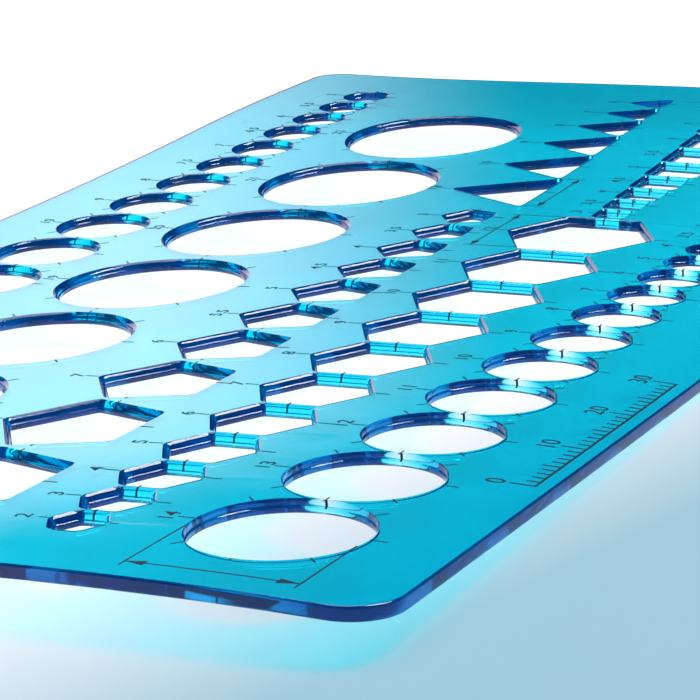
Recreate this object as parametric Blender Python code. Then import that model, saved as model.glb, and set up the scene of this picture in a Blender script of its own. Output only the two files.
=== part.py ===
"""Clear plastic drawing template: a thin plate with rows of circles, hexagons,
squares, pentagons and triangles to trace through.

The plate lies flat on z = 0. The rows run along +Y, the width runs along X, and
the origin is the middle of the underside.
"""

import math

import bmesh
import bpy

# --- driving dimensions, in millimetres -------------------------------------
MM = 0.001
PLATE_LEFT = -82.4          # plate edges, measured from a point on the small circles' centre line
PLATE_RIGHT = 13.6
PLATE_BOTTOM = -62.0
PLATE_TOP = 118.0
THICKNESS = 1.1
CORNER_RADIUS = 4.0
EDGE_BREAK = 0.12           # small bevel along the outer edge
WALL_DRAFT = 0.10           # each hole is this much wider at both faces than at mid height

# Rows of circles: X of the row, Y of its first circle, and the diameters from there on.
SMALL_CIRCLES_X = 0.0
SMALL_CIRCLES_Y = -49.6
SMALL_CIRCLES = (13.2, 11.9, 11.0, 10.3, 9.5, 8.6, 7.8, 7.0, 6.2, 5.5, 4.8, 4.1, 3.4, 2.6, 1.9)
SMALL_CIRCLES_LAND = 0.4

LARGE_CIRCLES_X = -50.2
LARGE_CIRCLES_Y = -45.2
LARGE_CIRCLES = (16.5, 17.2, 17.9, 18.6, 19.3, 20.0, 20.7)
LARGE_CIRCLES_LAND = 2.9

EDGE_CIRCLES_X = -69.3
EDGE_CIRCLES_Y = -47.8
EDGE_CIRCLES = (16.0, 15.2, 14.2, 13.0, 11.7, 10.6, 9.6, 8.7, 7.9, 7.3, 6.8, 6.4, 6.0, 5.6, 5.2)
EDGE_CIRCLES_LAND = 1.3

# Hexagons (across flats), then squares (side), on one line.
HEXAGONS_X = -14.7
HEXAGONS_Y = -52.3
HEXAGONS = (3.5, 4.6, 5.6, 6.6, 7.6, 8.5, 9.4, 10.1, 10.9, 11.8, 13.2)
HEXAGONS_LAND = 1.17
SQUARES_Y = 52.2
SQUARES = (2.9, 3.5, 4.1, 4.7, 5.4, 6.0, 6.6, 7.6, 8.6)
SQUARES_LAND = 1.1

# Pentagons (side), then triangles (side), on one line.
PENTAGONS_X = -29.5
PENTAGONS_Y = -44.6
PENTAGONS = (8.8, 7.8, 6.9, 5.9, 5.3, 4.9, 4.4, 4.0, 3.5, 3.1)
PENTAGONS_LAND = 1.53
TRIANGLES_Y = 59.7
TRIANGLES = (12.4, 10.5, 9.3, 8.0, 6.6, 5.4)
TRIANGLES_LAND = 0.6

PLASTIC_COLOUR = (0.02, 0.55, 0.80, 1.0)

CENTRE_X = 0.5 * (PLATE_LEFT + PLATE_RIGHT)
CENTRE_Y = 0.5 * (PLATE_BOTTOM + PLATE_TOP)


def clear_scene():
    for thing in list(bpy.data.objects):
        bpy.data.objects.remove(thing, do_unlink=True)


def plastic_material():
    material = bpy.data.materials.new("blue_clear_plastic")
    material.use_nodes = True
    shader = material.node_tree.nodes["Principled BSDF"]
    shader.inputs["Base Color"].default_value = PLASTIC_COLOUR
    shader.inputs["Roughness"].default_value = 0.08
    shader.inputs["Metallic"].default_value = 0.0
    shader.inputs["IOR"].default_value = 1.49
    shader.inputs["Alpha"].default_value = 0.6
    return material


def row_positions(start, widths, land):
    """Centres along a row whose openings keep the same strip of plastic between them."""
    places = []
    y = start
    for index, width in enumerate(widths):
        if index:
            y += 0.5 * (widths[index - 1] + width) + land
        places.append(y)
    return places


def regular_outline(x, y, sides, radius, first_angle):
    points = []
    for index in range(sides):
        angle = first_angle + 2.0 * math.pi * index / sides
        points.append((x + radius * math.cos(angle), y + radius * math.sin(angle)))
    return points


def circle_segments(diameter):
    return 36 if diameter > 9.0 else 24


def circle_row(x, start, diameters, land):
    holes = []
    for y, diameter in zip(row_positions(start, diameters, land), diameters):
        holes.append((x, y, circle_segments(diameter), 0.5 * diameter, 0.0))
    return holes


def hexagon_row():
    holes = []
    for y, flats in zip(row_positions(HEXAGONS_Y, HEXAGONS, HEXAGONS_LAND), HEXAGONS):
        holes.append((HEXAGONS_X, y, 6, flats / math.sqrt(3.0), 0.0))
    return holes


def square_row():
    holes = []
    for y, side in zip(row_positions(SQUARES_Y, SQUARES, SQUARES_LAND), SQUARES):
        holes.append((HEXAGONS_X, y, 4, side / math.sqrt(2.0), math.pi / 4.0))
    return holes


def pentagon_row():
    """Each pentagon points to -X, and its width along the row is its diagonal."""
    diagonals = [side * 0.5 * (1.0 + math.sqrt(5.0)) for side in PENTAGONS]
    holes = []
    for y, side in zip(row_positions(PENTAGONS_Y, diagonals, PENTAGONS_LAND), PENTAGONS):
        holes.append((PENTAGONS_X, y, 5, 0.5 * side / math.sin(math.pi / 5.0), math.pi))
    return holes


def triangle_row():
    holes = []
    for y, side in zip(row_positions(TRIANGLES_Y, TRIANGLES, TRIANGLES_LAND), TRIANGLES):
        holes.append((PENTAGONS_X, y, 3, side / math.sqrt(3.0), math.pi))
    return holes


def all_holes():
    holes = circle_row(SMALL_CIRCLES_X, SMALL_CIRCLES_Y, SMALL_CIRCLES, SMALL_CIRCLES_LAND)
    holes += circle_row(LARGE_CIRCLES_X, LARGE_CIRCLES_Y, LARGE_CIRCLES, LARGE_CIRCLES_LAND)
    holes += circle_row(EDGE_CIRCLES_X, EDGE_CIRCLES_Y, EDGE_CIRCLES, EDGE_CIRCLES_LAND)
    holes += hexagon_row() + square_row() + pentagon_row() + triangle_row()
    return holes


def plate_outline(inset):
    """Rectangle with rounded corners, moved inwards by the given amount."""
    points = []
    radius = CORNER_RADIUS - inset
    corners = (
        (PLATE_RIGHT - CORNER_RADIUS, PLATE_TOP - CORNER_RADIUS, 0.0),
        (PLATE_LEFT + CORNER_RADIUS, PLATE_TOP - CORNER_RADIUS, 0.5 * math.pi),
        (PLATE_LEFT + CORNER_RADIUS, PLATE_BOTTOM + CORNER_RADIUS, math.pi),
        (PLATE_RIGHT - CORNER_RADIUS, PLATE_BOTTOM + CORNER_RADIUS, 1.5 * math.pi),
    )
    for x, y, start in corners:
        for step in range(7):
            angle = start + 0.5 * math.pi * step / 6.0
            points.append((x + radius * math.cos(angle), y + radius * math.sin(angle)))
    return points


def add_ring(mesh, points, height):
    """Vertices of one outline at a height, in metres and about the plate's middle."""
    ring = []
    for x, y in points:
        ring.append(mesh.verts.new(((x - CENTRE_X) * MM, (y - CENTRE_Y) * MM, height * MM)))
    return ring


def join_rings(mesh, lower, upper):
    count = len(lower)
    for index in range(count):
        after = (index + 1) % count
        mesh.faces.new((lower[index], lower[after], upper[after], upper[index]))


def ring_edges(mesh, ring):
    edges = []
    for index, vertex in enumerate(ring):
        after = ring[(index + 1) % len(ring)]
        edges.append(mesh.edges.get((vertex, after)))
    return edges


def template_plate():
    """One closed plate: an outer edge with a small bevel, and a drafted wall in each hole."""
    mesh = bmesh.new()
    bottom_edges = []
    top_edges = []

    levels = (0.0, EDGE_BREAK, THICKNESS - EDGE_BREAK, THICKNESS)
    insets = (EDGE_BREAK, 0.0, 0.0, EDGE_BREAK)
    rings = [add_ring(mesh, plate_outline(inset), height) for inset, height in zip(insets, levels)]
    for lower, upper in zip(rings[:-1], rings[1:]):
        join_rings(mesh, lower, upper)
    bottom_edges += ring_edges(mesh, rings[0])
    top_edges += ring_edges(mesh, rings[-1])

    for x, y, sides, radius, first_angle in all_holes():
        wall = []
        for extra, height in ((WALL_DRAFT, 0.0), (0.0, 0.5 * THICKNESS), (WALL_DRAFT, THICKNESS)):
            wall.append(add_ring(mesh, regular_outline(x, y, sides, radius + extra, first_angle), height))
        join_rings(mesh, wall[1], wall[0])
        join_rings(mesh, wall[2], wall[1])
        bottom_edges += ring_edges(mesh, wall[0])
        top_edges += ring_edges(mesh, wall[2])

    bmesh.ops.triangle_fill(mesh, use_beauty=True, use_dissolve=False, edges=bottom_edges)
    bmesh.ops.triangle_fill(mesh, use_beauty=True, use_dissolve=False, edges=top_edges)
    bmesh.ops.recalc_face_normals(mesh, faces=mesh.faces[:])

    data = bpy.data.meshes.new("template_plate")
    mesh.to_mesh(data)
    mesh.free()
    data.shade_smooth()
    data.set_sharp_from_angle(angle=math.radians(25.0))
    plate = bpy.data.objects.new("template_plate", data)
    plate.data.materials.append(plastic_material())
    bpy.context.scene.collection.objects.link(plate)
    return plate


clear_scene()
template_plate()
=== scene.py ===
"""Looks of the clear blue drawing template: its finer, bowed plate, the print on it, lights and camera."""

import math

import bmesh
import bpy
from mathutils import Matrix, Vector


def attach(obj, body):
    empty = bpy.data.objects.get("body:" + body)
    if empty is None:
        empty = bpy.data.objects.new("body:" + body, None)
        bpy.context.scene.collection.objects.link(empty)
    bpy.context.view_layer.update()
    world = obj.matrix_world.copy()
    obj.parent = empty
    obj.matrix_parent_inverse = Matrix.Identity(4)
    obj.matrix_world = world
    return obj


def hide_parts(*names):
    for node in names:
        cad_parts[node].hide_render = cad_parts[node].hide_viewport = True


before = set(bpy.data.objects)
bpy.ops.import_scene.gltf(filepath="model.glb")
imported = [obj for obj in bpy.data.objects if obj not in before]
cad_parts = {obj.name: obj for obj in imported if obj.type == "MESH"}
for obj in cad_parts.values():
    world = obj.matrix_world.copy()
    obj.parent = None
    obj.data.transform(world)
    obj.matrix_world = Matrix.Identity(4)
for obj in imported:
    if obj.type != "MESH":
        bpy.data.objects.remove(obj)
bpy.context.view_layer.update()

# --- the plate's design, in millimetres, as in the CAD source ------------------
MM = 0.001
PLATE_LEFT = -82.4
PLATE_RIGHT = 13.6
PLATE_BOTTOM = -62.0
PLATE_TOP = 118.0
CENTRE_X = 0.5 * (PLATE_LEFT + PLATE_RIGHT)
CENTRE_Y = 0.5 * (PLATE_BOTTOM + PLATE_TOP)
THICKNESS = 1.1
CORNER_RADIUS = 4.0

SMALL_CIRCLES_X = 0.0
SMALL_CIRCLES_Y = -49.6
SMALL_CIRCLES = (13.2, 11.9, 11.0, 10.3, 9.5, 8.6, 7.8, 7.0, 6.2, 5.5, 4.8, 4.1, 3.4, 2.6, 1.9)
SMALL_CIRCLES_LAND = 0.4
SMALL_CIRCLE_NUMBERS = ("14", "13", "12", "11", "10", "9", "8", "7", "6", "5", "4", "3.5", "3", "2.5", "2")

LARGE_CIRCLES_X = -50.2
LARGE_CIRCLES_Y = -45.2
LARGE_CIRCLES = (16.5, 17.2, 17.9, 18.6, 19.3, 20.0, 20.7)
LARGE_CIRCLES_LAND = 2.9
LARGE_CIRCLE_NUMBERS = ("16", "17", "18", "19", "20", "21", "22")

EDGE_CIRCLES_X = -69.3
EDGE_CIRCLES_Y = -47.8
EDGE_CIRCLES = (16.0, 15.2, 14.2, 13.0, 11.7, 10.6, 9.6, 8.7, 7.9, 7.3, 6.8, 6.4, 6.0, 5.6, 5.2)
EDGE_CIRCLES_LAND = 1.3
EDGE_CIRCLE_NUMBERS = ("16", "15", "14", "13", "12", "11", "10", "9", "8", "7.5", "7", "6.5", "6", "5.5",
                       "5")

HEXAGONS_X = -14.7
HEXAGONS_Y = -52.3
HEXAGONS = (3.5, 4.6, 5.6, 6.6, 7.6, 8.5, 9.4, 10.1, 10.9, 11.8, 13.2)
HEXAGONS_LAND = 1.17
HEXAGON_NUMBERS = ("2", "3", "4", "5", "6", "7", "8", "9", "10", "11", "12")
SQUARES_Y = 52.2
SQUARES = (2.9, 3.5, 4.1, 4.7, 5.4, 6.0, 6.6, 7.6, 8.6)
SQUARES_LAND = 1.1
SQUARE_NUMBERS = ("3", "3.5", "4", "4.5", "5", "5.5", "6", "7", "8")

PENTAGONS_X = -29.5
PENTAGONS_Y = -44.6
PENTAGONS = (8.8, 7.8, 6.9, 5.9, 5.3, 4.9, 4.4, 4.0, 3.5, 3.1)
PENTAGONS_LAND = 1.53
PENTAGON_NUMBERS = ("9", "8", "7", "6", "5.5", "5", "4.5", "4", "3.5", "3")
TRIANGLES_Y = 59.7
TRIANGLES = (12.4, 10.5, 9.3, 8.0, 6.6, 5.4)
TRIANGLES_LAND = 0.6
TRIANGLE_NUMBERS = ("12", "10", "9", "8", "7", "6")

# A hole's wall from the underside up, as (height, extra width): a small lower lip, an upright stretch and a
# narrow rounded ledge at mid height. A rounded shoulder goes on from the ledge to the top face.
LOWER_LIP = ((0.0, 0.12), (0.03, 0.06), (0.09, 0.02))
LEDGE = ((0.43, 0.0), (0.46, 0.012), (0.50, 0.065), (0.54, 0.118), (0.60, 0.13))
SHOULDER_STEPS = 6
SHOULDER_END = math.radians(48.0)   # the shoulder meets the top face at a clear edge
# Height and inset of the plate's outer edge.
EDGE_PROFILE = ((0.0, 0.16), (0.03, 0.08), (0.10, 0.02), (0.20, 0.0),
                (0.90, 0.0), (1.0, 0.02), (1.07, 0.08), (1.1, 0.16))
POLYGON_CORNER_RADIUS = 0.30
CORNER_STEPS = 5
OUTLINE_STEPS = 12          # in each rounded corner of the plate
BIG_CIRCLE = 4.0            # a circle of a larger radius than this takes more steps
BIG_CIRCLE_STEPS = 96
CIRCLE_STEPS = 64
BOW_GRID = 6.0              # about the distance between the cuts that let large faces follow the bow
GRID_SHIFT = 0.37           # from each cut to the far side of its cell, in parts of a cell
MERGE_DISTANCE = 1e-5
FLAT_LIMIT = 0.999          # a face whose normal is this near upright is one of the plate's two flat faces

# --- the print, in millimetres ---------------------------------------------------
INK_GAP = 0.003             # clear of the plate, so that the two surfaces don't share a plane
INK_THICKNESS = 0.012
INK_STEP = 2.0              # longest straight stretch of a line on the bowed plate
TICK_WIDTH = 0.16
TICK_LENGTH = 1.3
TICK_START = 0.05           # from a hole's rim at the top face to the start of its ticks
ALONG_TICK = 0.38           # from the rim to the end of a tick between two holes, in parts of TICK_LENGTH
DIAGONAL_TICK = 0.75        # length of a circle's diagonal ticks, in parts of TICK_LENGTH
SMALL_HOLE = 2.4            # a hole of this radius or less has shorter ticks and no diagonal ones
SMALL_HOLE_TICK = 0.6
NUMBER_HEIGHT = 1.30
NUMBER_WEIGHT = 0.006       # how much bolder than the plain font, in parts of its size
NUMBER_DISTANCE = 2.1       # from the start of a hole's left tick to the middle of its number
ARROW_LENGTH = 1.6
ARROW_WIDTH = 0.9
CIRCLE_DIMENSION = 3.0      # from the first small circle to its dimension line
CIRCLE_WITNESS = 1.5        # from that circle's middle to the start of its end lines, along the row
HEXAGON_DIMENSION = 1.8     # from the last hexagon's left corner to its dimension line
TRIANGLE_DIMENSION = 2.1    # from the first triangle's right side to its dimension line
WITNESS_OVERRUN = 0.8       # how far the thin end lines run past a dimension line
WITNESS_GAP = 0.4           # from a polygon's side to its end lines

# --- how the plate lies -----------------------------------------------------------
BOW_CENTRE = (-33.0, 10.0)
BOW_HALF_WIDTH = 50.0
BOW_HALF_LENGTH = 60.0
BOW_FULL = 80.0             # past this place along the plate the bow eases off,
BOW_LIMIT = 100.0           # towards the height that it would have at this place
LIFT = 2.45                 # brings the bowed plate's lowest point to less than 0.1 mm above the table


def bow(x, y):
    """Height in mm by which the plate is bowed at a place in the design's own x and y."""
    if y > BOW_FULL:
        room = BOW_LIMIT - BOW_FULL
        y = BOW_FULL + room * (1.0 - math.exp(-(y - BOW_FULL) / room))
    across = (x - BOW_CENTRE[0]) / BOW_HALF_WIDTH
    along = (y - BOW_CENTRE[1]) / BOW_HALF_LENGTH
    height = -0.750 * across ** 2 - 1.035 * across * along + 0.856 * along ** 2
    height += -1.575 * across ** 3 - 0.423 * across ** 2 * along
    height += -0.149 * across * along ** 2 + 0.230 * along ** 3
    return height


def place(x, y, z):
    """A point of the design, in mm, as a point of the row frame, in metres, on the bowed plate."""
    return Vector(((x - CENTRE_X) * MM, (y - CENTRE_Y) * MM, (z + bow(x, y) + LIFT) * MM))


def row_positions(start, widths, land):
    """Middles of a row of holes, each a land's width clear of the one before."""
    places = [start]
    for before, width in zip(widths[:-1], widths[1:]):
        places.append(places[-1] + (0.5 * (before + width) + land))
    return places


# --- holes: (x, y, sides, circumradius, direction of the first corner) ---------------
def circle_row(x, start, diameters, land):
    places = row_positions(start, diameters, land)
    return [(x, y, 0, 0.5 * width, 0.0) for y, width in zip(places, diameters)]


def hexagon_row():
    places = row_positions(HEXAGONS_Y, HEXAGONS, HEXAGONS_LAND)
    return [(HEXAGONS_X, y, 6, flats / math.sqrt(3.0), 0.0) for y, flats in zip(places, HEXAGONS)]


def square_row():
    places = row_positions(SQUARES_Y, SQUARES, SQUARES_LAND)
    return [(HEXAGONS_X, y, 4, side / math.sqrt(2.0), math.pi / 4.0) for y, side in zip(places, SQUARES)]


def pentagon_row():
    diagonals = [side * 0.5 * (1.0 + math.sqrt(5.0)) for side in PENTAGONS]
    places = row_positions(PENTAGONS_Y, diagonals, PENTAGONS_LAND)
    spread = math.sin(math.pi / 5.0)
    return [(PENTAGONS_X, y, 5, 0.5 * side / spread, math.pi) for y, side in zip(places, PENTAGONS)]


def triangle_row():
    places = row_positions(TRIANGLES_Y, TRIANGLES, TRIANGLES_LAND)
    return [(PENTAGONS_X, y, 3, side / math.sqrt(3.0), math.pi) for y, side in zip(places, TRIANGLES)]


SMALL_CIRCLE_ROW = circle_row(SMALL_CIRCLES_X, SMALL_CIRCLES_Y, SMALL_CIRCLES, SMALL_CIRCLES_LAND)
LARGE_CIRCLE_ROW = circle_row(LARGE_CIRCLES_X, LARGE_CIRCLES_Y, LARGE_CIRCLES, LARGE_CIRCLES_LAND)
EDGE_CIRCLE_ROW = circle_row(EDGE_CIRCLES_X, EDGE_CIRCLES_Y, EDGE_CIRCLES, EDGE_CIRCLES_LAND)
HEXAGON_ROW = hexagon_row()
TRIANGLE_ROW = triangle_row()

# The name of each row's print, its holes, the width of their rounded shoulders in mm, and their numbers.
# Where the strips between the holes are narrow, so are the shoulders.
ROWS = (
    ("small_circle_marks", SMALL_CIRCLE_ROW, 0.19, SMALL_CIRCLE_NUMBERS),
    ("large_circle_marks", LARGE_CIRCLE_ROW, 0.60, LARGE_CIRCLE_NUMBERS),
    ("edge_circle_marks", EDGE_CIRCLE_ROW, 0.50, EDGE_CIRCLE_NUMBERS),
    ("hexagon_marks", HEXAGON_ROW, 0.48, HEXAGON_NUMBERS),
    ("square_marks", square_row(), 0.42, SQUARE_NUMBERS),
    ("pentagon_marks", pentagon_row(), 0.55, PENTAGON_NUMBERS),
    ("triangle_marks", TRIANGLE_ROW, 0.25, TRIANGLE_NUMBERS),
)


def wall_profile(shoulder):
    """(height, extra width) pairs up a hole's wall."""
    profile = list(LOWER_LIP + LEDGE)
    low, inner = LEDGE[-1]
    for step in range(1, SHOULDER_STEPS + 1):
        turn = SHOULDER_END * step / SHOULDER_STEPS
        rise = math.sin(turn) / math.sin(SHOULDER_END)
        spread = (1.0 - math.cos(turn)) / (1.0 - math.cos(SHOULDER_END))
        profile.append((low + (THICKNESS - low) * rise, inner + (shoulder - inner) * spread))
    return profile


def hole_outline(hole, extra):
    """A circle, or a regular polygon with rounded corners, widened by extra all round."""
    x, y, sides, radius, first = hole
    if sides == 0:
        steps = BIG_CIRCLE_STEPS if radius > BIG_CIRCLE else CIRCLE_STEPS
        angles = [2.0 * math.pi * step / steps for step in range(steps)]
        return [(x + (radius + extra) * math.cos(a), y + (radius + extra) * math.sin(a)) for a in angles]
    points = []
    half = math.pi / sides
    reach = radius - POLYGON_CORNER_RADIUS / math.cos(half)
    rounding = POLYGON_CORNER_RADIUS + extra
    for corner in range(sides):
        middle = first + 2.0 * half * corner
        for step in range(CORNER_STEPS + 1):
            a = middle + half * (2.0 * step / CORNER_STEPS - 1.0)
            points.append((x + reach * math.cos(middle) + rounding * math.cos(a),
                           y + reach * math.sin(middle) + rounding * math.sin(a)))
    return points


def plate_outline(inset):
    radius = CORNER_RADIUS - inset
    right, left = PLATE_RIGHT - CORNER_RADIUS, PLATE_LEFT + CORNER_RADIUS
    top, bottom = PLATE_TOP - CORNER_RADIUS, PLATE_BOTTOM + CORNER_RADIUS
    points = []
    for quarter, (x, y) in enumerate(((right, top), (left, top), (left, bottom), (right, bottom))):
        for step in range(OUTLINE_STEPS + 1):
            angle = 0.5 * math.pi * (quarter + step / OUTLINE_STEPS)
            points.append((x + radius * math.cos(angle), y + radius * math.sin(angle)))
    return points


# --- the plate's mesh -------------------------------------------------------------
def join_rings(mesh, lower, upper):
    """The faces between two closed rings of vertices."""
    for index in range(len(lower)):
        after = (index + 1) % len(lower)
        mesh.faces.new((lower[index], lower[after], upper[after], upper[index]))


def add_wall(mesh, outlines):
    """Rings of vertices, one for each (height, points), joined in order. Returns the first and last."""
    rings = [[mesh.verts.new((x, y, height)) for x, y in points] for height, points in outlines]
    for lower, upper in zip(rings[:-1], rings[1:]):
        join_rings(mesh, lower, upper)
    return rings[0], rings[-1]


def ring_edges(mesh, ring):
    return [mesh.edges.get((vertex, ring[(index + 1) % len(ring)])) for index, vertex in enumerate(ring)]


def cut_into_cells(mesh):
    """Cuts every face along a grid, so that the bow bends large faces smoothly."""
    for axis, low, high in ((0, PLATE_LEFT, PLATE_RIGHT), (1, PLATE_BOTTOM, PLATE_TOP)):
        count = int((high - low) / BOW_GRID)
        normal = Vector((1.0, 0.0, 0.0)) if axis == 0 else Vector((0.0, 1.0, 0.0))
        for step in range(1, count + 1):
            point = normal * (low + (high - low) * (step - GRID_SHIFT) / count)
            everything = mesh.verts[:] + mesh.edges[:] + mesh.faces[:]
            bmesh.ops.bisect_plane(mesh, geom=everything, dist=MERGE_DISTANCE, plane_co=point,
                                   plane_no=normal)


def mark_sharp(mesh):
    """The edges of both flat faces stay sharp."""
    for edge in mesh.edges:
        if len(edge.link_faces) != 2:
            continue
        flat = [abs(face.normal.z) > FLAT_LIMIT for face in edge.link_faces]
        edge.smooth = flat[0] == flat[1]


def fine_plate():
    mesh = bmesh.new()
    first, last = add_wall(mesh, [(height, plate_outline(inset)) for height, inset in EDGE_PROFILE])
    bottom_edges = ring_edges(mesh, first)
    top_edges = ring_edges(mesh, last)
    for _, holes, shoulder, _ in ROWS:
        for hole in holes:
            outlines = [(height, hole_outline(hole, extra)) for height, extra in wall_profile(shoulder)]
            first, last = add_wall(mesh, outlines)
            bottom_edges += ring_edges(mesh, first)
            top_edges += ring_edges(mesh, last)
    bmesh.ops.triangle_fill(mesh, use_beauty=True, use_dissolve=False, edges=bottom_edges)
    bmesh.ops.triangle_fill(mesh, use_beauty=True, use_dissolve=False, edges=top_edges)
    bmesh.ops.recalc_face_normals(mesh, faces=mesh.faces[:])
    cut_into_cells(mesh)
    mesh.normal_update()
    mark_sharp(mesh)
    for face in mesh.faces:
        face.smooth = True
    for vertex in mesh.verts:
        vertex.co = place(*vertex.co)
    return new_object("clear_plate", mesh)


def new_object(name, mesh):
    data = bpy.data.meshes.new(name)
    mesh.to_mesh(data)
    mesh.free()
    thing = bpy.data.objects.new(name, data)
    bpy.context.scene.collection.objects.link(thing)
    return thing


# --- the print's mesh ---------------------------------------------------------------
def add_prism(mesh, points):
    """A thin closed body of ink on the plate's top face, from its outline in the design's x and y."""
    low = THICKNESS + INK_GAP
    lower = [mesh.verts.new(place(x, y, low)) for x, y in points]
    upper = [mesh.verts.new(place(x, y, low + INK_THICKNESS)) for x, y in points]
    mesh.faces.new(list(reversed(lower)))
    mesh.faces.new(upper)
    join_rings(mesh, lower, upper)


def add_line(mesh, start, end, width=TICK_WIDTH):
    """A straight line of ink, in short stretches so that it follows the bow."""
    start, end = Vector(start), Vector(end)
    run = end - start
    side = Vector((-run.y, run.x)).normalized() * 0.5 * width
    steps = max(1, math.ceil(run.length / INK_STEP))
    right = [start + run * step / steps - side for step in range(steps + 1)]
    left = [point + 2.0 * side for point in reversed(right)]
    outline = right + left
    low = THICKNESS + INK_GAP
    lower = [mesh.verts.new(place(p.x, p.y, low)) for p in outline]
    upper = [mesh.verts.new(place(p.x, p.y, low + INK_THICKNESS)) for p in outline]
    for index in range(steps):
        across = len(outline) - 1 - index
        mesh.faces.new((upper[index], upper[index + 1], upper[across - 1], upper[across]))
        mesh.faces.new((lower[across], lower[across - 1], lower[index + 1], lower[index]))
    join_rings(mesh, lower, upper)


def add_arrowhead(mesh, tip, direction):
    tip, direction = Vector(tip), Vector(direction).normalized()
    side = Vector((-direction.y, direction.x)) * 0.5 * ARROW_WIDTH
    back = tip - direction * ARROW_LENGTH
    add_prism(mesh, [(p.x, p.y) for p in (tip, back + side, back - side)])


def add_dimension(mesh, start, end):
    """A dimension line with a filled arrowhead at each end."""
    run = Vector(end) - Vector(start)
    add_line(mesh, start, end)
    add_arrowhead(mesh, end, run)
    add_arrowhead(mesh, start, -run)


NUMBER_MESHES = {}


def number_mesh(text):
    """The flat outline of a number as a mesh, one unit high, reading along +X about its own middle."""
    if text not in NUMBER_MESHES:
        curve = bpy.data.curves.new("number", "FONT")
        curve.body = text
        curve.align_x = "CENTER"
        curve.resolution_u = 4
        curve.extrude = 0.5
        curve.offset = NUMBER_WEIGHT
        holder = bpy.data.objects.new("number", curve)
        bpy.context.scene.collection.objects.link(holder)
        bpy.context.view_layer.update()
        data = bpy.data.meshes.new_from_object(holder.evaluated_get(bpy.context.evaluated_depsgraph_get()))
        bpy.data.objects.remove(holder, do_unlink=True)
        heights = [vertex.co.y for vertex in data.vertices]
        low, high = min(heights), max(heights)
        for vertex in data.vertices:
            vertex.co.x /= high - low
            vertex.co.y = (vertex.co.y - low) / (high - low) - 0.5
        NUMBER_MESHES[text] = data
    return NUMBER_MESHES[text]


def add_number(mesh, text, x, y, height=NUMBER_HEIGHT):
    """A number that reads along +Y, with the tops of its digits towards -X."""
    first = len(mesh.verts)
    mesh.from_mesh(number_mesh(text))
    mesh.verts.ensure_lookup_table()
    for vertex in mesh.verts[first:]:
        level = THICKNESS + INK_GAP + (vertex.co.z + 0.5) * INK_THICKNESS
        vertex.co = place(x - height * vertex.co.y, y + height * vertex.co.x, level)


def left_reach(hole):
    """Distance from a hole's middle to its left side."""
    sides, radius = hole[2], hole[3]
    return radius * math.cos(math.pi / 4.0) if sides == 4 else radius


def right_reach(hole):
    """Distance from a hole's middle to its right side."""
    sides, radius = hole[2], hole[3]
    return radius * math.cos(math.pi / sides) if sides in (3, 4, 5) else radius


def row_reach(hole, extra):
    """Distance from a hole's middle to its wall, along the row, where the hole is widened by extra."""
    sides, radius, first = hole[2:]
    if sides == 0:
        return radius + extra
    half = math.pi / sides
    turn = (0.5 * math.pi - first) % (2.0 * half) - half
    return (radius * math.cos(half) + extra) / math.cos(turn)


def add_wall_tick(mesh, hole, way, shoulder):
    """A tick's stretch down the wall, from the top face to the ledge's foot."""
    x, y = hole[:2]
    rings = []
    for height, extra in wall_profile(shoulder)[len(LOWER_LIP):]:
        outer = y + way * (row_reach(hole, extra) - INK_GAP)
        inner = outer - way * INK_THICKNESS
        left, right = x - 0.5 * TICK_WIDTH, x + 0.5 * TICK_WIDTH
        corners = ((left, outer), (right, outer), (right, inner), (left, inner))
        rings.append([mesh.verts.new(place(across, along, height)) for across, along in corners])
    for lower, upper in zip(rings[:-1], rings[1:]):
        join_rings(mesh, lower, upper)
    mesh.faces.new(rings[0])
    mesh.faces.new(rings[-1])


def add_ticks(mesh, hole, number, shoulder):
    """Centre ticks on the row's axis and across it, a leader to the number, and diagonals on a circle."""
    x, y, sides, radius, _ = hole
    length = TICK_LENGTH if radius > SMALL_HOLE else SMALL_HOLE_TICK * TICK_LENGTH
    rim = row_reach(hole, shoulder)
    for way in (-1.0, 1.0):
        add_wall_tick(mesh, hole, way, shoulder)
        add_line(mesh, (x, y + way * (rim + TICK_START)), (x, y + way * (rim + ALONG_TICK * length)))
    right = right_reach(hole) + shoulder + TICK_START
    left = left_reach(hole) + shoulder + TICK_START
    add_line(mesh, (x + right, y), (x + right + length, y))
    add_line(mesh, (x - left, y), (x - left - length, y))
    if sides == 0 and radius > SMALL_HOLE:
        for corner in range(4):
            angle = math.pi * (0.25 + 0.5 * corner)
            outward = Vector((math.cos(angle), math.sin(angle)))
            start = Vector((x, y)) + outward * (radius + shoulder + TICK_START)
            add_line(mesh, start, start + outward * DIAGONAL_TICK * length)
    add_number(mesh, number, x - left - NUMBER_DISTANCE, y)


def row_marks(name, holes, shoulder, numbers):
    mesh = bmesh.new()
    for hole, number in zip(holes, numbers):
        add_ticks(mesh, hole, number, shoulder)
    bmesh.ops.recalc_face_normals(mesh, faces=mesh.faces[:])
    return new_object(name, mesh)


def add_row_dimension(mesh, hole, side_x, line_x, half):
    """A dimension line along a row for one of its polygons, with end lines from the polygon's side."""
    y = hole[1]
    outward = math.copysign(1.0, line_x - side_x)
    for way in (-1.0, 1.0):
        start = (side_x + outward * WITNESS_GAP, y + way * half)
        add_line(mesh, start, (line_x + outward * WITNESS_OVERRUN, y + way * half))
    add_dimension(mesh, (line_x, y - half), (line_x, y + half))


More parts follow.
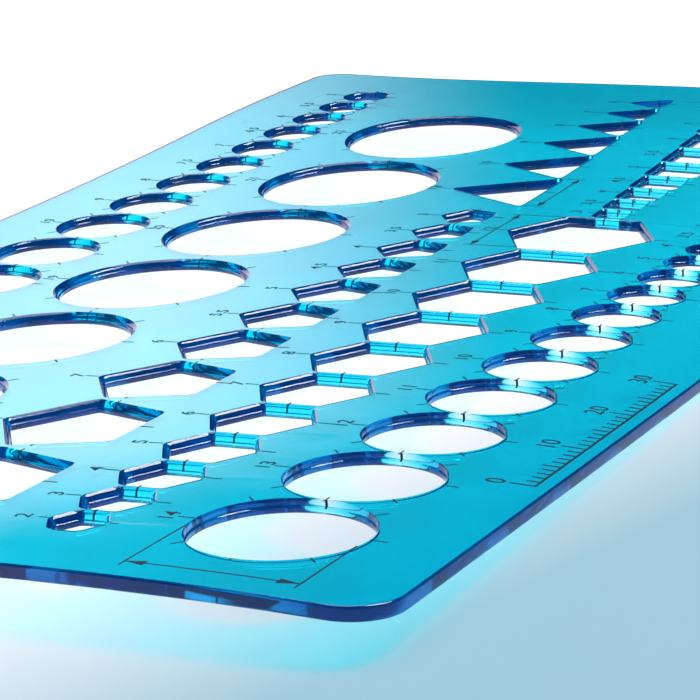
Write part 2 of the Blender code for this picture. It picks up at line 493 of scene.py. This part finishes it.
def dimension_marks():
    """Arrows that show which width each row's numbers give."""
    mesh = bmesh.new()
    x, y, _, radius, _ = SMALL_CIRCLE_ROW[0]
    line_y = y - radius - CIRCLE_DIMENSION
    for way in (-1.0, 1.0):
        side = x + way * radius
        add_line(mesh, (side, y - CIRCLE_WITNESS), (side, line_y - WITNESS_OVERRUN))
    add_dimension(mesh, (x - radius, line_y), (x + radius, line_y))

    hexagon = HEXAGON_ROW[-1]
    x, radius = hexagon[0], hexagon[3]
    add_row_dimension(mesh, hexagon, x - 0.5 * radius, x - radius - HEXAGON_DIMENSION,
                      radius * math.cos(math.pi / 6.0))
    triangle = TRIANGLE_ROW[0]
    x, radius = triangle[0], triangle[3]
    add_row_dimension(mesh, triangle, x + 0.5 * radius, x + 0.5 * radius + TRIANGLE_DIMENSION,
                      radius * math.sin(math.pi / 3.0))
    return new_object("dimension_marks", mesh)


# A plain millimetre scale near the right edge.
SCALE_X = 12.3
SCALE_Y = -34.0
SCALE_LENGTH = 30
SCALE_TICKS = ((10, 1.9), (5, 1.4), (1, 1.0))   # length of the ticks at each multiple of so many millimetres
SCALE_LINE_WIDTH = 0.22
SCALE_LINE_OVERRUN = 0.1
SCALE_TICK_GAP = 0.01       # between the long line and its ticks, so that no two bodies of ink overlap
SCALE_NUMBER_DISTANCE = 3.1
SCALE_NUMBER_HEIGHT = 1.6


def scale_marks():
    mesh = bmesh.new()
    low, high = SCALE_Y - SCALE_LINE_OVERRUN, SCALE_Y + SCALE_LENGTH + SCALE_LINE_OVERRUN
    add_line(mesh, (SCALE_X, low), (SCALE_X, high), SCALE_LINE_WIDTH)
    start = SCALE_X - 0.5 * SCALE_LINE_WIDTH - SCALE_TICK_GAP
    for step in range(SCALE_LENGTH + 1):
        y = SCALE_Y + step
        length = next(length for multiple, length in SCALE_TICKS if step % multiple == 0)
        add_line(mesh, (start, y), (start - length, y), SCALE_LINE_WIDTH)
        if step % 10 == 0:
            add_number(mesh, str(step), SCALE_X - SCALE_NUMBER_DISTANCE, y, SCALE_NUMBER_HEIGHT)
    return new_object("scale_marks", mesh)


# --- materials ------------------------------------------------------------------------
def new_material(name):
    material = bpy.data.materials.new(name)
    material.use_nodes = True
    nodes = material.node_tree.nodes
    nodes.clear()
    return material, nodes, material.node_tree.links


PLASTIC_TINT = (0.03, 0.935, 0.969, 1.0)
PLASTIC_DENSITY = 3200.0    # per metre
PLASTIC_IOR = 1.49
# A faint constant glow that keeps the darkest edges navy instead of black.
EDGE_GLOW = (0.0, 0.12, 0.55, 1.0)
EDGE_GLOW_STRENGTH = 0.075


def clear_plastic():
    """Clear blue plastic: it absorbs by depth, and its faces have faint moulding ripples and fine wear."""
    material, nodes, links = new_material("clear_blue_plastic")
    output = nodes.new("ShaderNodeOutputMaterial")
    shader = nodes.new("ShaderNodeBsdfPrincipled")
    shader.inputs["Base Color"].default_value = (1.0, 1.0, 1.0, 1.0)
    shader.inputs["Transmission Weight"].default_value = 1.0
    shader.inputs["IOR"].default_value = PLASTIC_IOR
    shader.inputs["Emission Color"].default_value = EDGE_GLOW
    shader.inputs["Emission Strength"].default_value = EDGE_GLOW_STRENGTH

    place_on = nodes.new("ShaderNodeTexCoord")
    wear = nodes.new("ShaderNodeTexNoise")
    wear.inputs["Scale"].default_value = 160.0
    wear.inputs["Detail"].default_value = 4.0
    rough = nodes.new("ShaderNodeMapRange")
    rough.inputs["From Min"].default_value = 0.35
    rough.inputs["From Max"].default_value = 0.75
    rough.inputs["To Min"].default_value = 0.03
    rough.inputs["To Max"].default_value = 0.08
    links.new(place_on.outputs["Object"], wear.inputs["Vector"])
    links.new(wear.outputs["Fac"], rough.inputs["Value"])
    links.new(rough.outputs["Result"], shader.inputs["Roughness"])

    ripple = nodes.new("ShaderNodeTexNoise")
    ripple.inputs["Scale"].default_value = 90.0
    ripple.inputs["Detail"].default_value = 1.0
    bump = nodes.new("ShaderNodeBump")
    bump.inputs["Strength"].default_value = 0.15
    bump.inputs["Distance"].default_value = 0.00005
    links.new(place_on.outputs["Object"], ripple.inputs["Vector"])
    links.new(ripple.outputs["Fac"], bump.inputs["Height"])
    links.new(bump.outputs["Normal"], shader.inputs["Normal"])

    # Shadow rays pass straight through: the absorption alone dims them.
    lamps = nodes.new("ShaderNodeLightPath")
    through = nodes.new("ShaderNodeBsdfTransparent")
    mix = nodes.new("ShaderNodeMixShader")
    links.new(lamps.outputs["Is Shadow Ray"], mix.inputs["Fac"])
    links.new(shader.outputs["BSDF"], mix.inputs[1])
    links.new(through.outputs["BSDF"], mix.inputs[2])
    links.new(mix.outputs["Shader"], output.inputs["Surface"])

    absorb = nodes.new("ShaderNodeVolumeAbsorption")
    absorb.inputs["Color"].default_value = PLASTIC_TINT
    absorb.inputs["Density"].default_value = PLASTIC_DENSITY
    links.new(absorb.outputs["Volume"], output.inputs["Volume"])
    return material


def ink():
    """Dark blue-black ink, slightly uneven as pad printing is."""
    material, nodes, links = new_material("print_ink")
    output = nodes.new("ShaderNodeOutputMaterial")
    shader = nodes.new("ShaderNodeBsdfPrincipled")
    shader.inputs["Specular IOR Level"].default_value = 0.3
    place_on = nodes.new("ShaderNodeTexCoord")
    grain = nodes.new("ShaderNodeTexNoise")
    grain.inputs["Scale"].default_value = 9000.0
    grain.inputs["Detail"].default_value = 3.0
    colours = nodes.new("ShaderNodeValToRGB")
    colours.color_ramp.elements[0].position = 0.35
    colours.color_ramp.elements[0].color = (0.004, 0.010, 0.022, 1.0)
    colours.color_ramp.elements[1].position = 0.75
    colours.color_ramp.elements[1].color = (0.010, 0.035, 0.065, 1.0)
    rough = nodes.new("ShaderNodeMapRange")
    rough.inputs["To Min"].default_value = 0.45
    rough.inputs["To Max"].default_value = 0.65
    links.new(place_on.outputs["Object"], grain.inputs["Vector"])
    links.new(grain.outputs["Fac"], colours.inputs["Fac"])
    links.new(grain.outputs["Fac"], rough.inputs["Value"])
    links.new(colours.outputs["Color"], shader.inputs["Base Color"])
    links.new(rough.outputs["Result"], shader.inputs["Roughness"])
    links.new(shader.outputs["BSDF"], output.inputs["Surface"])
    return material


# --- stage, lights and camera ------------------------------------------------------------
FLOOR_SIZE = 8.0
VIEW_TURN = 0.48718         # how far left of +Y the camera looks, in radians
VIEW_DOWN = 0.25604         # and how far below level
VIEW_ROLL = -0.08128
CAMERA_PLACE = (0.115113, -0.217745, 0.056171)      # in metres, before it is raised by LIFT like the plate
CAMERA_LENS = 127.76
SENSOR = 36.0


def soft_step(nodes, links, value, start, end, high):
    """A smooth change from nothing to high as the value goes from start to end."""
    step = nodes.new("ShaderNodeMapRange")
    step.interpolation_type = "SMOOTHSTEP"
    step.inputs["From Min"].default_value = start
    step.inputs["From Max"].default_value = end
    step.inputs["To Min"].default_value = 0.0
    step.inputs["To Max"].default_value = high
    links.new(value, step.inputs["Value"])
    return step.outputs["Result"]


def along_way(nodes, links, weights):
    """A coordinate along a direction of the object's own space."""
    place_on = nodes.new("ShaderNodeTexCoord")
    dot = nodes.new("ShaderNodeVectorMath")
    dot.operation = "DOT_PRODUCT"
    dot.inputs[1].default_value = weights
    links.new(place_on.outputs["Object"], dot.inputs[0])
    return dot.outputs["Value"]


TABLE_WHITE = (0.92, 0.80, 0.82, 1.0)
# Painted shade on the table to the plate's right, tinted blue like light that came through the plate.
TABLE_PAINTED_SHADE = (0.16, 0.33, 0.41, 1.0)
TABLE_FADE = (0.032, 0.070, 0.16, 0.60)     # where the painted shade starts, is full, is still full and ends
TABLE_FADE_WAY = (0.95, -0.3, 0.0)          # the way along which those places are measured, in metres
TABLE_BASE = (0.20, 0.20, 0.20, 1.0)


def table_top():
    """A pale translucent table lit from below, with painted shade to the plate's right, a little dimmer and
    bluer there.
    """
    mesh = bmesh.new()
    bmesh.ops.create_grid(mesh, x_segments=2, y_segments=2, size=0.5 * FLOOR_SIZE)
    floor = new_object("table_top", mesh)
    material, nodes, links = new_material("table_white")
    output = nodes.new("ShaderNodeOutputMaterial")
    shader = nodes.new("ShaderNodeBsdfPrincipled")
    shader.inputs["Base Color"].default_value = TABLE_BASE
    shader.inputs["Roughness"].default_value = 0.9
    shader.inputs["Specular IOR Level"].default_value = 0.1
    colours = nodes.new("ShaderNodeValToRGB")
    stops = colours.color_ramp.elements
    for stop, position in ((stops[0], TABLE_FADE[0]), (stops[1], TABLE_FADE[3])):
        stop.position = position
        stop.color = TABLE_WHITE
    # The two middle stops paint that shade into the table's glow.
    for position in TABLE_FADE[1:3]:
        stops.new(position).color = TABLE_PAINTED_SHADE
    links.new(along_way(nodes, links, TABLE_FADE_WAY), colours.inputs["Fac"])
    links.new(colours.outputs["Color"], shader.inputs["Emission Color"])
    shader.inputs["Emission Strength"].default_value = 1.0
    links.new(shader.outputs["BSDF"], output.inputs["Surface"])
    floor.data.materials.append(material)


PANEL_DISTANCE = 0.34
PANEL_WIDTH = 0.8
PANEL_HEIGHT = 0.25
PANEL_STRENGTH = 1.6
PANEL_COLOUR = (1.0, 0.84, 0.91, 1.0)
PANEL_SIDE_FADE = (0.05, -0.06)     # from dark to full strength, in metres to the right of its middle
PANEL_TOP_FADE = (0.128, 0.102)     # and in metres above the table


def white_panel():
    """A soft white panel beyond the plate, which its flat faces mirror at a low angle.

    It fades out upwards and to the right. The camera doesn't see it directly, so it hides nothing.
    """
    mesh = bmesh.new()
    corners = ((-0.5, 0.0), (0.5, 0.0), (0.5, 1.0), (-0.5, 1.0))
    mesh.faces.new([mesh.verts.new((x * PANEL_WIDTH, 0.0, z * PANEL_HEIGHT)) for x, z in corners])
    panel = new_object("white_panel", mesh)
    panel.location = Vector((-math.sin(VIEW_TURN), math.cos(VIEW_TURN), 0.0)) * PANEL_DISTANCE
    panel.rotation_euler = (0.0, 0.0, VIEW_TURN)
    panel.visible_camera = False
    material, nodes, links = new_material("panel_glow")
    output = nodes.new("ShaderNodeOutputMaterial")
    glow = nodes.new("ShaderNodeEmission")
    glow.inputs["Color"].default_value = PANEL_COLOUR
    across = along_way(nodes, links, (1.0, 0.0, 0.0))
    upward = along_way(nodes, links, (0.0, 0.0, 1.0))
    side_fade = soft_step(nodes, links, across, *PANEL_SIDE_FADE, PANEL_STRENGTH)
    top_fade = soft_step(nodes, links, upward, *PANEL_TOP_FADE, 1.0)
    both = nodes.new("ShaderNodeMath")
    both.operation = "MULTIPLY"
    links.new(side_fade, both.inputs[0])
    links.new(top_fade, both.inputs[1])
    links.new(both.outputs["Value"], glow.inputs["Strength"])
    links.new(glow.outputs["Emission"], output.inputs["Surface"])
    panel.data.materials.append(material)


def softbox(name, power, size, location):
    """A square lamp that faces the row frame's origin."""
    data = bpy.data.lights.new(name, "AREA")
    data.energy = power
    data.shape = "SQUARE"
    data.size = size
    light = bpy.data.objects.new(name, data)
    light.location = location
    light.rotation_euler = (-Vector(location)).to_track_quat("-Z", "Y").to_euler()
    bpy.context.scene.collection.objects.link(light)


SKY_BLUE = (0.005, 0.40, 0.62, 1.0)
SKY_BLUE_STRENGTH = 0.8
SKY_PALE = (0.90, 0.94, 0.97, 1.0)
SKY_PALE_STRENGTH = 0.9


def surroundings():
    """Deep blue all round, which keeps the plastic's colour, but pale where the camera sees it directly."""
    world = bpy.data.worlds.new("studio")
    bpy.context.scene.world = world
    world.use_nodes = True
    nodes, links = world.node_tree.nodes, world.node_tree.links
    nodes.clear()
    output = nodes.new("ShaderNodeOutputWorld")
    dim = nodes.new("ShaderNodeBackground")
    dim.inputs["Color"].default_value = SKY_BLUE
    dim.inputs["Strength"].default_value = SKY_BLUE_STRENGTH
    pale = nodes.new("ShaderNodeBackground")
    pale.inputs["Color"].default_value = SKY_PALE
    pale.inputs["Strength"].default_value = SKY_PALE_STRENGTH
    rays = nodes.new("ShaderNodeLightPath")
    mix = nodes.new("ShaderNodeMixShader")
    links.new(rays.outputs["Is Camera Ray"], mix.inputs["Fac"])
    links.new(dim.outputs["Background"], mix.inputs[1])
    links.new(pale.outputs["Background"], mix.inputs[2])
    links.new(mix.outputs["Shader"], output.inputs["Surface"])


def camera():
    data = bpy.data.cameras.new("camera")
    data.lens = CAMERA_LENS
    data.sensor_width = SENSOR
    data.clip_start = 0.005
    data.clip_end = 50.0
    thing = bpy.data.objects.new("camera", data)
    bpy.context.scene.collection.objects.link(thing)
    bpy.context.scene.camera = thing
    level_right = Vector((math.cos(VIEW_TURN), math.sin(VIEW_TURN), 0.0))
    level_ahead = Vector((-math.sin(VIEW_TURN), math.cos(VIEW_TURN), 0.0))
    upward = Vector((0.0, 0.0, 1.0))
    ahead = math.cos(VIEW_DOWN) * level_ahead - math.sin(VIEW_DOWN) * upward
    up = math.sin(VIEW_DOWN) * level_ahead + math.cos(VIEW_DOWN) * upward
    right = math.cos(VIEW_ROLL) * level_right + math.sin(VIEW_ROLL) * up
    up = -math.sin(VIEW_ROLL) * level_right + math.cos(VIEW_ROLL) * up
    for row in range(3):
        for column, axis in enumerate((right, up, -ahead)):
            thing.matrix_world[row][column] = axis[row]
    thing.matrix_world.translation = Vector(CAMERA_PLACE) + Vector((0.0, 0.0, LIFT * MM))


# --- everything together ---------------------------------------------------------------------
def build():
    plate = fine_plate()
    plate.data.materials.append(clear_plastic())
    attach(plate, "root")
    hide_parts("template_plate")

    marks = [row_marks(*row) for row in ROWS] + [dimension_marks(), scale_marks()]
    dark = ink()
    for piece in marks:
        piece.data.materials.append(dark)
        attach(piece, "root")


LIGHT_BOUNCES = 40          # many, because light goes back and forth inside the plate

bpy.context.scene.view_settings.view_transform = "Standard"
bpy.context.scene.cycles.max_bounces = LIGHT_BOUNCES
bpy.context.scene.cycles.transmission_bounces = LIGHT_BOUNCES
build()
table_top()
white_panel()
surroundings()
softbox("overhead", 3.0, 0.5, (-0.12, 0.15, 0.9))
softbox("side", 8.5, 0.42, (0.42, 0.26, 0.86))
camera()
